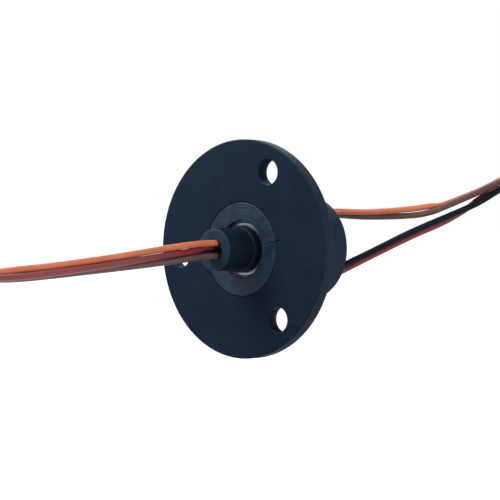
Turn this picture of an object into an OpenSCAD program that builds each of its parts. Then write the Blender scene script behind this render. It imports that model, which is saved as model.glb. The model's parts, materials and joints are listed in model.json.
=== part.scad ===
// Flanged capsule slip ring with four circuits. The rotor turns about the Y axis.
// The origin is the centre of the flange's mounting face, and the rotor stub points towards -Y.

/* [Housing] */
// Diameter of the round mounting flange
flange_d = 44.5; // [42:0.5:50]
// Thickness of the mounting flange
flange_t = 2.9; // [2.5:0.1:4]
// Bevel along both rims of the flange
flange_bevel = 0.3; // [0.1:0.05:0.5]
// Outer diameter of the body behind the flange
body_d = 22; // [21.8:0.1:24]
// Wall thickness round the brush chamber
body_wall = 1.5; // [1.2:0.1:1.6]
// Thickness of the inner lip behind the front bearing
lip_t = 0.6; // [0.4:0.1:1]
// Height of the inner lip over the front bearing's seat
lip_h = 0.8; // [0.5:0.1:1]
// Diameter of the circle that the mounting holes lie on
bolt_circle_d = 34.2; // [33:0.2:36]
// Diameter of each mounting hole
bolt_hole_d = 5.1; // [4:0.1:5.5]
// Number of mounting holes
bolt_count = 3; // [3:1:6]
// Angle of the first mounting hole above the +X axis
bolt_angle = 65; // [0:5:115]

/* [Caps] */
// Diameter of the front cap
front_cap_d = 19; // [18:0.25:20]
// Thickness of the front cap
front_cap_t = 1.1; // [0.8:0.1:1.6]
// Diameter of the opening in the front cap
front_cap_bore = 11.5; // [11.2:0.1:12.5]
// Bevel on the front cap's edges
cap_bevel = 0.2; // [0.1:0.05:0.3]
// Gap round each cap in its seat
cap_gap = 0.15; // [0.05:0.05:0.25]
// Width of the radial index notch across the cap's rim
notch_w = 0.3; // [0.2:0.05:0.6]
// Depth of the index notch
notch_depth = 0.2; // [0.1:0.05:0.4]
// Thickness of the rear cap's disc
rear_cap_t = 2.4; // [2:0.1:3]
// Thickness of the rear cap's outer shoulder
rear_shoulder_t = 1.2; // [0.8:0.1:1.6]
// Width of the rear cap's shoulder beyond its plug
rear_shoulder_w = 0.5; // [0.3:0.1:0.7]
// Wall of the rear cap round the rear bearing
rear_boss_wall = 1.2; // [0.8:0.1:1.3]
// Closed wall behind the rear bearing
rear_wall = 1.5; // [1.2:0.1:2.2]

/* [Bearings] */
// Outer diameter of the front ball bearing
front_od = 14; // [13.8:0.1:15]
// Height of the front bearing from its bore to its outside
front_section = 2.5; // [2.4:0.05:2.6]
// Width of the front ball bearing
front_w = 4.5; // [4:0.1:5]
// Number of balls in the front bearing
front_count = 13; // [8:1:13]
// Outer diameter of the rear ball bearing
rear_od = 10; // [9.8:0.1:11]
// Height of the rear bearing from its bore to its outside
rear_section = 2.5; // [2.4:0.05:2.6]
// Width of the rear ball bearing
rear_w = 3; // [2.6:0.1:3.6]
// Number of balls in the rear bearing
rear_count = 9; // [6:1:9]
// Wall of the races behind their raceways
race_wall = 0.45; // [0.42:0.01:0.55]
// Depth of a raceway as a share of its ball's diameter
raceway_share = 0.3; // [0.26:0.01:0.34]
// Clearance of a ball in its raceway
ball_clear = 0.03; // [0.02:0.01:0.05]
// Clearance of a ball in its cage pocket
pocket_clear = 0.05; // [0.03:0.01:0.08]
// Clearance on both sides of a cage
cage_clear = 0.1; // [0.07:0.01:0.12]
// Width of a cage's rim beside its ball pockets
cage_rim = 0.15; // [0.1:0.05:0.2]
// Thickness of the steel shields
shield_t = 0.15; // [0.1:0.05:0.25]
// Depth of the shields below the bearing's faces
shield_inset = 0.15; // [0.1:0.05:0.2]
// Running gap between a shield and the inner race
shield_clear = 0.08; // [0.05:0.01:0.12]
// Assembly clearance of pressed and seated pieces
seat_clear = 0.02; // [0.01:0.01:0.03]

/* [Rotor] */
// Diameter of the rotor's stub in front of the flange
stub_d = 8.6; // [8.4:0.1:8.8]
// Length of the stub in front of the flange
stub_l = 8; // [6.5:0.1:9]
// Rounding of the stub's front edge
stub_round = 0.5; // [0.2:0.1:0.8]
// Bore of the rotor for the leads
rotor_bore = 4.3; // [4.2:0.05:4.5]
// Wall of the collar that holds the front bearing
collar_wall = 0.3; // [0.25:0.05:0.5]
// How far the collar stands in front of the flange
collar_proud = 0.8; // [0.4:0.1:1.2]
// Bevel on the collar's front edge
collar_bevel = 0.15; // [0.05:0.05:0.2]
// Diameter of the shoulder behind the front bearing
shoulder_d = 10.4; // [10:0.1:10.8]
// Thickness of that shoulder
shoulder_t = 0.7; // [0.5:0.1:1]
// Diameter of the shoulder in front of the rear bearing
rear_step_d = 6.4; // [6:0.1:6.6]
// Length of that shoulder
rear_step_l = 0.3; // [0.2:0.1:0.6]
// Free space behind the rotor's rear end
end_gap = 0.3; // [0.2:0.05:0.5]
// Depth of the potting below the stub's mouth
potting_inset = 0.3; // [0.2:0.1:3]
// Length of the potting
potting_l = 6.3; // [4:0.1:7]
// Diameter of the radial holes for the ring wires
ring_hole_d = 0.9; // [0.7:0.1:1.1]

/* [Rings] */
// Thickness of a contact ring from the drum to its rim
ring_h = 1.6; // [1.3:0.1:1.8]
// Width of a contact ring
ring_w = 1.4; // [1.2:0.1:1.6]
// Depth of the V groove in a ring
groove_depth = 0.45; // [0.35:0.05:0.55]
// How far the insulating barriers stand over the rings
barrier_step = 0.5; // [0.3:0.1:0.7]
// Running gap between the barriers and the brush blocks
barrier_gap = 0.8; // [0.6:0.1:1]
// Thickness of a barrier
barrier_t = 0.7; // [0.6:0.05:0.8]
// Thickness of the open clip behind the stack
clip_t = 0.6; // [0.4:0.1:0.8]
// How far the clip stands over the drum
clip_h = 1; // [0.7:0.1:1.2]
// Depth of the clip's groove in the drum
clip_depth = 0.5; // [0.3:0.1:0.6]
// Clearance of the clip and the rings on the drum
ring_clear = 0.03; // [0.02:0.01:0.05]

/* [Brushes] */
// Diameter of the spring brush wire
brush_wire_d = 0.3; // [0.2:0.05:0.4]
// Gap between a brush wire and its groove
brush_gap = 0.03; // [0.02:0.01:0.05]
// Reach of a brush wire past the rotor's axis
brush_reach = 1.5; // [1:0.1:2.5]
// Depth of a brush block from the chamber's wall to its inner face
block_t = 2.8; // [2.7:0.05:3]
// Thickness of a block's wall in front of the wire slots
block_wall = 0.7; // [0.6:0.05:0.8]
// Gap between a block and the housing
block_gap = 0.05; // [0.02:0.01:0.1]
// Clearance of a brush wire in its block
wire_clear = 0.05; // [0.03:0.01:0.08]
// Diameter of the inner connecting wires
tail_d = 0.3; // [0.2:0.05:0.3]
// Distance of the connecting wires' run from the X axis
tail_z = 2.5; // [2.2:0.1:2.8]
// Depth of that run below the chamber's wall
tail_inset = 1; // [0.9:0.05:1.1]
// Depth of the wires' crossing to the leads below the chamber's wall
crossing_inset = 1.2; // [1:0.05:1.4]

/* [Leads] */
// Diameter of a lead over its insulation
lead_d = 1.3; // [1.1:0.05:1.3]
// Clearance of a lead in its hole
lead_clear = 0.06; // [0.03:0.01:0.1]
// Radius of the outermost turn of each coil
coil_r = 10.4; // [10:0.1:11]
// Number of layers in a coil
coil_layers = 5; // [4:1:5]
// Width of the tie round a coil
tie_w = 2.4; // [2:0.1:3]
// Thickness of the tie
tie_t = 0.5; // [0.4:0.1:0.8]
// Side of the tie's head
tie_head = 2.6; // [2.2:0.1:3]
// Clearance between a tie and its coil
tie_clear = 0.05; // [0.03:0.01:0.1]

/* [Hidden] */

$fn = 64;
eps = 0.01;

// Each circuit: side of its brush block and side of its stator exit
circuits = [[1, 1], [-1, 1], [1, -1], [-1, -1]];
ring_count = len(circuits);
// Angle and radius of each circuit's inner wire in the rotor's bore
ring_wire_angle = [45, 135, 225, 315];
ring_wire_r = 1.2;

// Stations along the axis, from the front to the rear
face_y = -flange_t;
mouth_y = face_y - stub_l;
cap_back_y = face_y + front_cap_t;
collar_y = face_y - collar_proud;
lip_y = cap_back_y + front_w;
chamber_y = lip_y + lip_t;
stack_y = lip_y + shoulder_t;
pitch = ring_w + barrier_t;
stack_end_y = stack_y + ring_count * pitch + barrier_t;
clip_end_y = stack_end_y + clip_t;
rear_bearing_y = clip_end_y + rear_step_l;
rear_bearing_end_y = rear_bearing_y + rear_w;
body_end_y = rear_bearing_end_y + rear_wall;
disc_y = body_end_y - rear_cap_t;
rotor_bore_end_y = stack_end_y - barrier_t;
potting_y = mouth_y + potting_inset;
potting_end_y = potting_y + potting_l;

// Bore, ball circle, balls and half of the gap between the races of each bearing
front_bore = front_od - 2 * front_section;
rear_bore = rear_od - 2 * rear_section;
front_pitch_r = (front_od - front_section) / 2;
rear_pitch_r = (rear_od - rear_section) / 2;
front_ball_d = front_section - 2 * race_wall;
rear_ball_d = rear_section - 2 * race_wall;
front_land = front_ball_d * (0.5 - raceway_share);
rear_land = rear_ball_d * (0.5 - raceway_share);

// Radii
chamber_r = body_d / 2 - body_wall;
cap_seat_r = front_cap_d / 2 + cap_gap;
plug_r = chamber_r - cap_gap;
rear_seat_r = chamber_r + rear_shoulder_w;
block_face = chamber_r - block_t;
barrier_r = block_face - barrier_gap;
ring_r = barrier_r - barrier_step;
drum_r = ring_r - ring_h;
clip_r = drum_r + clip_h;
groove_r = ring_r - groove_depth;
tail_x = chamber_r - tail_inset;
tail_r = chamber_r - crossing_inset;
leg_z = groove_r + (brush_wire_d / 2 + brush_gap) * sqrt(2);
bar_x = block_face + block_wall + brush_wire_d / 2 + wire_clear;
block_end_y = stack_end_y;

// Routes of the leads outside the housing and the stub
rotor_orange_route = [
    [0.5, -10.6, 1.3], [0.5, -12.4, 1.3], [0.35, -16, 1.15], [0.25, -22, 0.65], [0.1, -30, -0.2],
    [-0.05, -38, -1.05], [-0.1, -46, -1.8], [-0.2, -55, -2.55], [-0.2, -64, -3.1], [0.6, -75, -3.95]
];
rotor_red_route = [
    [-0.65, -10.6, 0.5], [-0.65, -12.4, 0.5], [-0.05, -16, -0.15], [0.3, -22, -0.7], [0.45, -30, -1.5],
    [0.5, -38, -2.3], [0.6, -46, -3.05], [0.7, -55, -3.75], [0.85, -64, -4.3], [1.95, -75, -4.3]
];
rotor_brown_route = [
    [0.5, -10.6, -1.3], [0.5, -12.4, -1.3], [0.35, -16, -1.5], [0.1, -22, -2.05], [-0.2, -30, -2.7],
    [-0.45, -38, -3.25], [-0.55, -46, -3.75], [-0.6, -55, -4.3], [-0.55, -64, -4.65], [-0.7, -75, -4.4]
];
rotor_black_route = [
    [-1.05, -10.6, -0.8], [-1.05, -12.4, -0.8], [-1.15, -16, -0.95], [-1, -22, -1.2], [-1.2, -30, -1.7],
    [-1.35, -38, -2.25], [-1.45, -46, -2.75], [-1.45, -55, -3.25], [-1.55, -64, -3.7], [-2.05, -75, -4.1]
];
stator_orange_route = [
    [0.7, 15.2, 7.7], [0.7, 18.6, 7.7], [0.95, 21.9, 7.75], [2.35, 26.1, 7.7], [7.05, 30.4, 7.55],
    [13.15, 36.35, 8.2], [15.95, 39.5, 8.8], [18.1, 41.9, 9.2], [24.1, 47.35, 12.4], [28.6, 53.1, 15.9]
];
stator_brown_route = [
    [-0.7, 15.2, 7.7], [-0.7, 18.6, 7.7], [-0.45, 22.1, 7.5], [1.65, 26.9, 6.9], [6.4, 31.1, 6.55],
    [12.95, 36.55, 6.8], [16.4, 39, 7.5], [19, 40.9, 8.7], [25, 46.3, 12.2], [31.2, 50.2, 15.6]
];
stator_black_route = [
    [0.7, 15.2, -7.7], [0.7, 18.6, -7.7], [0.95, 21.9, -7.1], [2.3, 26.15, -4.2], [7.05, 30.4, -1],
    [13.35, 36.1, 3.2], [18.9, 41, 6.4], [22.7, 44.25, 8.55], [24.95, 46.35, 10.1], [30.4, 51.1, 14.5]
];
stator_red_route = [
    [-0.7, 15.2, -7.7], [-0.7, 18.6, -7.7], [-0.45, 22.1, -7.4], [1.7, 26.85, -5.2], [6.4, 31.1, -2],
    [12.75, 36.8, 2.2], [18.2, 41.8, 5.5], [21.8, 45.25, 8.45], [24.15, 47.25, 10.75], [29.45, 52.15, 14.1]
];
// Centre of each coil, and the angle of its plane about Z
rotor_coil_centre = [0, -81, -14.6];
rotor_coil_turn = 90;
stator_coil_centre = [37.2, 58.2, 7.2];
stator_coil_turn = 42;
leads_in_bundle = ring_count;
lead_gap = 0.05;
lead_pitch = lead_d + lead_gap;
// Place of the leads in the rear cap's two oval exits
exit_x = stator_orange_route[0][0];
exit_z = stator_orange_route[0][2];

// Turns a shape that was revolved about Z into one about Y, at the station y
module on_axis(y = 0) {
    translate([0, y, 0])
        rotate([-90, 0, 0])
            children();
}

// A plain ring about the axis
module ring(outer_r, inner_r, y, width) {
    on_axis(y)
        difference() {
            cylinder(r = outer_r, h = width);
            translate([0, 0, -eps])
                cylinder(r = inner_r, h = width + 2 * eps);
        }
}

// Children repeated at the mounting holes
module at_bolts() {
    for (i = [0 : bolt_count - 1])
        rotate([0, -bolt_angle + i * 360 / bolt_count, 0])
            translate([bolt_circle_d / 2, 0, 0])
                children();
}

// Radial index notch across the rim of the cap and the flange's face
module index_notch() {
    notch_angle = 10;
    notch_inset = 3;
    notch_l = 4.2;
    notch_start = front_cap_d / 2 - notch_inset;
    rotate([0, -notch_angle, 0])
        translate([notch_start, face_y - eps, -notch_w / 2])
            cube([notch_l, notch_depth + eps, notch_w]);
}

module flanged_housing() {
    color([0.12, 0.16, 0.21])
        difference() {
            rotate([-90, 0, 0])
                rotate_extrude()
                    polygon([
                        [cap_seat_r, face_y],
                        [flange_d / 2 - flange_bevel, face_y],
                        [flange_d / 2, face_y + flange_bevel],
                        [flange_d / 2, -flange_bevel],
                        [flange_d / 2 - flange_bevel, 0],
                        [body_d / 2, 0],
                        [body_d / 2, body_end_y],
                        [rear_seat_r, body_end_y],
                        [rear_seat_r, body_end_y - rear_shoulder_t],
                        [chamber_r, body_end_y - rear_shoulder_t],
                        [chamber_r, chamber_y],
                        [front_od / 2 - lip_h, chamber_y],
                        [front_od / 2 - lip_h, lip_y],
                        [front_od / 2 + seat_clear, lip_y],
                        [front_od / 2 + seat_clear, cap_back_y],
                        [cap_seat_r, cap_back_y]
                    ]);
            at_bolts()
                on_axis(face_y - eps)
                    cylinder(d = bolt_hole_d, h = flange_t + 2 * eps);
            index_notch();
        }
}

module front_cap() {
    cap_r = front_cap_d / 2;
    bore_r = front_cap_bore / 2;
    color([0.17, 0.24, 0.29])
        difference() {
            rotate([-90, 0, 0])
                rotate_extrude()
                    polygon([
                        [bore_r + cap_bevel, face_y],
                        [cap_r - cap_bevel, face_y],
                        [cap_r, face_y + cap_bevel],
                        [cap_r, cap_back_y],
                        [bore_r, cap_back_y],
                        [bore_r, face_y + cap_bevel]
                    ]);
            index_notch();
        }
}

// Oval opening for one pair of leads
module lead_exit(side) {
    hole_r = lead_d / 2 + lead_clear;
    translate([0, disc_y - eps, side * exit_z])
        rotate([-90, 0, 0])
            linear_extrude(rear_cap_t + 2 * eps) {
                for (x = [-exit_x, exit_x])
                    translate([x, 0])
                        circle(r = hole_r);
                square([2 * exit_x, 2 * hole_r], center = true);
            }
}

module rear_cap() {
    seat_r = rear_od / 2 + seat_clear;
    boss_r = rear_od / 2 + rear_boss_wall;
    color([0.14, 0.18, 0.23])
        difference() {
            rotate([-90, 0, 0])
                rotate_extrude()
                    polygon([
                        [0, rear_bearing_end_y + end_gap],
                        [rear_pitch_r, rear_bearing_end_y + end_gap],
                        [rear_pitch_r, rear_bearing_end_y],
                        [seat_r, rear_bearing_end_y],
                        [seat_r, rear_bearing_y],
                        [boss_r, rear_bearing_y],
                        [boss_r, disc_y],
                        [plug_r, disc_y],
                        [plug_r, body_end_y - rear_shoulder_t],
                        [rear_seat_r - cap_gap, body_end_y - rear_shoulder_t],
                        [rear_seat_r - cap_gap, body_end_y],
                        [0, body_end_y]
                    ]);
            lead_exit(1);
            lead_exit(-1);
        }
}

// One race of a ball bearing, grooved for the balls
module race(outer_r, inner_r, pitch_r, ball_d, y, width) {
    on_axis(y)
        rotate_extrude()
            difference() {
                translate([inner_r, 0])
                    square([outer_r - inner_r, width]);
                translate([pitch_r, width / 2])
                    circle(r = ball_d / 2 + ball_clear, $fn = 32);
            }
}

module ball_row(pitch_r, ball_d, count, y) {
    for (i = [0 : count - 1])
        rotate([0, i * 360 / count, 0])
            translate([pitch_r, y, 0])
                sphere(d = ball_d, $fn = 20);
}

// Thin ring with a round pocket for each ball
module cage(pitch_r, ball_d, land, count, y) {
    half_t = land - cage_clear;
    width = ball_d + 2 * (pocket_clear + cage_rim);
    difference() {
        ring(pitch_r + half_t, pitch_r - half_t, y - width / 2, width);
        for (i = [0 : count - 1])
            rotate([0, i * 360 / count, 0])
                translate([pitch_r - ball_d / 2, y, 0])
                    rotate([0, 90, 0])
                        cylinder(r = ball_d / 2 + pocket_clear, h = ball_d);
    }
}

// The two thin discs that close a bearing, held by the outer race
module shields(pitch_r, land, y, width) {
    for (shield_y = [y + shield_inset, y + width - shield_inset - shield_t])
        ring(pitch_r + land, pitch_r - land + shield_clear, shield_y, shield_t);
}

module front_outer_race() {
    color([0.75, 0.77, 0.8])
        race(front_od / 2, front_pitch_r + front_land, front_pitch_r, front_ball_d, cap_back_y, front_w);
}

module front_inner_race() {
    color([0.78, 0.8, 0.83])
        race(front_pitch_r - front_land, front_bore / 2, front_pitch_r, front_ball_d, cap_back_y, front_w);
}

module front_balls() {
    color([0.85, 0.87, 0.9])
        ball_row(front_pitch_r, front_ball_d, front_count, cap_back_y + front_w / 2);
}

module front_cage() {
    color([0.6, 0.5, 0.3])
        cage(front_pitch_r, front_ball_d, front_land, front_count, cap_back_y + front_w / 2);
}

module front_shields() {
    color([0.6, 0.62, 0.65])
        shields(front_pitch_r, front_land, cap_back_y, front_w);
}

module rear_outer_race() {
    color([0.75, 0.77, 0.8])
        race(rear_od / 2, rear_pitch_r + rear_land, rear_pitch_r, rear_ball_d, rear_bearing_y, rear_w);
}

module rear_inner_race() {
    color([0.78, 0.8, 0.83])
        race(rear_pitch_r - rear_land, rear_bore / 2, rear_pitch_r, rear_ball_d, rear_bearing_y, rear_w);
}

module rear_balls() {
    color([0.85, 0.87, 0.9])
        ball_row(rear_pitch_r, rear_ball_d, rear_count, rear_bearing_y + rear_w / 2);
}

module rear_cage() {
    color([0.6, 0.5, 0.3])
        cage(rear_pitch_r, rear_ball_d, rear_land, rear_count, rear_bearing_y + rear_w / 2);
}

module rear_shields() {
    color([0.6, 0.62, 0.65])
        shields(rear_pitch_r, rear_land, rear_bearing_y, rear_w);
}

// Middle of the contact ring with the given index
function ring_y(i) = stack_y + barrier_t + i * pitch + ring_w / 2;

module rotor_shaft() {
    stub_r = stub_d / 2;
    journal_r = front_bore / 2 - seat_clear;
    rear_r = rear_bore / 2 - seat_clear;
    round_steps = 4;
    color([0.1, 0.13, 0.17])
        difference() {
            rotate([-90, 0, 0])
                rotate_extrude()
                    polygon(concat(
                        [[0, mouth_y]],
                        [for (i = [0 : round_steps])
                            let (a = 90 * i / round_steps)
                            [
                                stub_r - stub_round * (1 - sin(a)),
                                mouth_y + stub_round * (1 - cos(a))
                            ]],
                        [
                            [stub_r, collar_y],
                            [journal_r, collar_y],
                            [journal_r, lip_y],
                            [shoulder_d / 2, lip_y],
                            [shoulder_d / 2, stack_y],
                            [drum_r, stack_y],
                            [drum_r, stack_end_y],
                            [drum_r - clip_depth, stack_end_y],
                            [drum_r - clip_depth, clip_end_y],
                            [rear_step_d / 2, clip_end_y],
                            [rear_step_d / 2, rear_bearing_y],
                            [rear_r, rear_bearing_y],
                            [rear_r, rear_bearing_end_y],
                            [0, rear_bearing_end_y]
                        ]
                    ));
            on_axis(mouth_y - eps)
                cylinder(d = rotor_bore, h = rotor_bore_end_y - mouth_y + eps);
            for (i = [0 : ring_count - 1])
                translate([0, ring_y(i), 0])
                    rotate([0, -ring_wire_angle[i], 0])
                        rotate([0, 90, 0])
                            cylinder(d = ring_hole_d, h = drum_r + eps);
        }
}

module shaft_collar() {
    inner_r = front_bore / 2;
    outer_r = inner_r + collar_wall;
    color([0.09, 0.12, 0.16])
        rotate([-90, 0, 0])
            rotate_extrude()
                polygon([
                    [inner_r, collar_y],
                    [outer_r - collar_bevel, collar_y],
                    [outer_r, collar_y + collar_bevel],
                    [outer_r, cap_back_y],
                    [inner_r, cap_back_y]
                ]);
}

// Open spring clip that holds the ring stack on the drum
module stack_clip() {
    mouth_w = 4;
    groove_bottom_r = drum_r - clip_depth + ring_clear;
    color([0.5, 0.52, 0.55])
        difference() {
            ring(clip_r, groove_bottom_r, stack_end_y, clip_t);
            translate([-mouth_w / 2, stack_end_y - eps, 0])
                cube([mouth_w, clip_t + 2 * eps, clip_r + eps]);
        }
}

module rotor_potting() {
    color([0.05, 0.05, 0.06])
        on_axis(potting_y)
            cylinder(d = rotor_bore, h = potting_l);
}

// V-grooved contact ring
module contact_ring(i) {
    inner_r = drum_r + ring_clear;
    y = ring_y(i);
    color([0.85, 0.68, 0.3])
        rotate([-90, 0, 0])
            rotate_extrude()
                polygon([
                    [inner_r, y - ring_w / 2],
                    [ring_r, y - ring_w / 2],
                    [ring_r, y - groove_depth],
                    [groove_r, y],
                    [ring_r, y + groove_depth],
                    [ring_r, y + ring_w / 2],
                    [inner_r, y + ring_w / 2]
                ]);
}

module ring_barriers() {
    color([0.8, 0.76, 0.65])
        for (i = [0 : ring_count])
            ring(barrier_r, drum_r + ring_clear, stack_y + i * pitch, barrier_t);
}

// Moulded block on one side of the chamber, slotted for its brush wires
module brush_block(side) {
    slot_play = 0.4;
    slot_w = brush_wire_d + 2 * wire_clear + slot_play;
    slot_x = block_face + block_wall;
    slot_h = leg_z + brush_wire_d / 2 + wire_clear;
    outer_r = chamber_r - block_gap;
    color([0.16, 0.3, 0.22])
        difference() {
            intersection() {
                on_axis(chamber_y)
                    cylinder(r = outer_r, h = block_end_y - chamber_y);
                translate([side > 0 ? block_face : -block_face - outer_r, chamber_y, -outer_r])
                    cube([outer_r, block_end_y - chamber_y, 2 * outer_r]);
            }
            for (i = [0 : ring_count - 1])
                if (circuits[i][0] == side)
                    translate([0, ring_y(i), 0]) {
                        translate([side > 0 ? slot_x : -slot_x - outer_r, -slot_w / 2, -slot_h])
                            cube([outer_r, slot_w, 2 * slot_h]);
                        for (z = [-leg_z, leg_z])
                            translate([0, 0, z])
                                rotate([0, side * 90, 0])
                                    cylinder(d = brush_wire_d + 2 * wire_clear, h = slot_x + eps);
                        translate([side * tail_x, 0, circuits[i][1] * tail_z])
                            rotate([-90, 0, 0])
                                cylinder(d = tail_d + 2 * wire_clear, h = block_end_y);
                    }
        }
}

// U-shaped spring wire: two legs that straddle the ring and a bar in the block
module brush_spring(i) {
    side = circuits[i][0];
    wire_r = brush_wire_d / 2;
    color([0.9, 0.75, 0.35])
        translate([0, ring_y(i), 0]) {
            for (z = [-leg_z, leg_z])
                translate([-side * brush_reach, 0, z]) {
                    rotate([0, side * 90, 0])
                        cylinder(r = wire_r, h = bar_x + brush_reach, $fn = 16);
                    sphere(r = wire_r, $fn = 16);
                    translate([side * (bar_x + brush_reach), 0, 0])
                        sphere(r = wire_r, $fn = 16);
                }
            translate([side * bar_x, 0, -leg_z])
                cylinder(r = wire_r, h = 2 * leg_z, $fn = 16);
        }
}

function unit(v) = v / norm(v);
function heading(p, i) = unit(p[min(i + 1, len(p) - 1)] - p[max(i - 1, 0)]);
function upright(n, t) = unit(n - (n * t) * t);
// Normals carried along a route without twist
function normals(p, n0, i = 0) =
    i == len(p) ? [] : let (n = upright(n0, heading(p, i))) concat([n], normals(p, n, i + 1));

// Round cord or wire swept along a list of points
module swept(p, d, n0 = [0, 0, 1], sides = 8) {
    ns = normals(p, n0);
    last = (len(p) - 1) * sides;
    points = [
        for (i = [0 : len(p) - 1])
            let (t = heading(p, i), u = ns[i], v = cross(t, u))
                for (k = [0 : sides - 1])
                    p[i] + d / 2 * (cos(360 * k / sides) * u + sin(360 * k / sides) * v)
    ];
    faces = concat(
        [[for (k = [0 : sides - 1]) k]],
        [[for (k = [sides - 1 : -1 : 0]) last + k]],
        [for (i = [0 : len(p) - 2], k = [0 : sides - 1])
            let (a = i * sides + k, b = i * sides + (k + 1) % sides)
                [a, a + sides, b + sides, b]]
    );
    polyhedron(points, faces, convexity = 6);
}

// Inner wires from the potting to the inside of each ring
module rotor_wires() {
    bend = 0.3;
    end_r = drum_r - bend / 2;
    color([0.7, 0.4, 0.2])
        for (i = [0 : ring_count - 1]) {
            a = ring_wire_angle[i];
            out = [cos(a), 0, sin(a)];
            swept([
                ring_wire_r * out + [0, potting_end_y, 0],
                ring_wire_r * out + [0, ring_y(i) - 2 * bend, 0],
                (ring_wire_r + 0.2 * bend) * out + [0, ring_y(i) - bend, 0],
                (ring_wire_r + bend) * out + [0, ring_y(i) - 0.2 * bend, 0],
                (ring_wire_r + 2 * bend) * out + [0, ring_y(i), 0],
                end_r * out + [0, ring_y(i), 0]
            ], tail_d, [-sin(a), 0, cos(a)], 6);
        }
}

// Inner wire from a brush spring to the inner end of its stator lead
module stator_wire(i, lead_start) {
    side = circuits[i][0];
    level = circuits[i][1];
    bend = 0.2;
    arc_steps = 6;
    start_x = bar_x + brush_wire_d / 2 + tail_d / 2;
    exit_y = block_end_y + 2 * bend;
    start_a = atan2(tail_z, tail_x);
    end_a = atan2(abs(lead_start[2]), abs(lead_start[0]));
    swept(concat(
        [
            [side * start_x, ring_y(i), level * tail_z],
            [side * (tail_x - bend), ring_y(i), level * tail_z],
            [side * tail_x, ring_y(i) + bend, level * tail_z],
            [side * tail_x, exit_y, level * tail_z]
        ],
        [for (k = [1 : arc_steps])
            let (
                a = start_a + (end_a - start_a) * k / (arc_steps + 1),
                y = exit_y + (lead_start[1] - 2 * bend - exit_y) * k / arc_steps
            )
            [side * tail_r * cos(a), y, level * tail_r * sin(a)]],
        [lead_start - [0, bend, 0], lead_start]
    ), tail_d, [0, 0, 1], 6);
}

module stator_wires() {
    starts = [stator_orange_route[0], stator_brown_route[0], stator_black_route[0], stator_red_route[0]];
    color([0.7, 0.4, 0.2])
        for (i = [0 : ring_count - 1])
            stator_wire(i, starts[i]);
}

module lead(route, shade) {
    color(shade)
        swept(route, lead_d);
}

orange = [0.78, 0.4, 0.2];
red = [0.55, 0.16, 0.19];
brown = [0.35, 0.24, 0.24];
black = [0.06, 0.07, 0.1];

// Outer shape of the leads wound up together; the coil stands in a vertical plane
module lead_coil(centre, turn) {
    inner_r = coil_r + lead_d / 2 - coil_layers * lead_pitch;
    width = leads_in_bundle * lead_pitch;
    color([0.45, 0.25, 0.2])
        translate(centre)
            rotate([90, 0, turn])
                rotate_extrude()
                    translate([inner_r, -width / 2])
                        square([coil_r + lead_d / 2 - inner_r, width]);
}

// Tie round the lowest part of a coil, with its head on the outside
module coil_tie(centre, turn) {
    half_w = leads_in_bundle * lead_pitch / 2 + tie_clear;
    inner_r = coil_r + lead_d / 2 - coil_layers * lead_pitch;
    outer_r = coil_r + lead_d / 2;
    top = sqrt(inner_r * inner_r - tie_w * tie_w / 4) - tie_clear;
    bottom = outer_r + tie_clear;
    color([0.08, 0.08, 0.09])
        translate(centre)
            rotate([0, 0, turn]) {
                difference() {
                    translate([-tie_w / 2, -half_w - tie_t, -bottom - tie_t])
                        cube([tie_w, 2 * (half_w + tie_t), bottom - top + 2 * tie_t]);
                    translate([-tie_w / 2 - eps, -half_w, -bottom])
                        cube([tie_w + 2 * eps, 2 * half_w, bottom - top]);
                }
                translate([-tie_head / 2, -tie_head / 2, -bottom - tie_t - tie_head / 2])
                    cube([tie_head, tie_head, tie_head / 2]);
            }
}

flanged_housing();
front_cap();
rear_cap();
front_outer_race();
front_inner_race();
front_balls();
front_cage();
front_shields();
rear_outer_race();
rear_inner_race();
rear_balls();
rear_cage();
rear_shields();
rotor_shaft();
shaft_collar();
stack_clip();
rotor_potting();
contact_ring(0);  // contact_ring_1
contact_ring(1);  // contact_ring_2
contact_ring(2);  // contact_ring_3
contact_ring(3);  // contact_ring_4
ring_barriers();
brush_block(1);  // brush_block_right
brush_block(-1);  // brush_block_left
brush_spring(0);  // brush_spring_1
brush_spring(1);  // brush_spring_2
brush_spring(2);  // brush_spring_3
brush_spring(3);  // brush_spring_4
rotor_wires();
stator_wires();
lead(rotor_orange_route, orange);  // rotor_lead_orange
lead(rotor_red_route, red);  // rotor_lead_red
lead(rotor_brown_route, brown);  // rotor_lead_brown
lead(rotor_black_route, black);  // rotor_lead_black
lead_coil(rotor_coil_centre, rotor_coil_turn);  // rotor_lead_coil
coil_tie(rotor_coil_centre, rotor_coil_turn);  // rotor_coil_tie
lead(stator_orange_route, orange);  // stator_lead_orange
lead(stator_brown_route, brown);  // stator_lead_brown
lead(stator_black_route, black);  // stator_lead_black
lead(stator_red_route, red);  // stator_lead_red
lead_coil(stator_coil_centre, stator_coil_turn);  // stator_lead_coil
coil_tie(stator_coil_centre, stator_coil_turn);  // stator_coil_tie
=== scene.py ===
import json
import math

import bmesh
import bpy
from mathutils import Matrix, Vector


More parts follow.
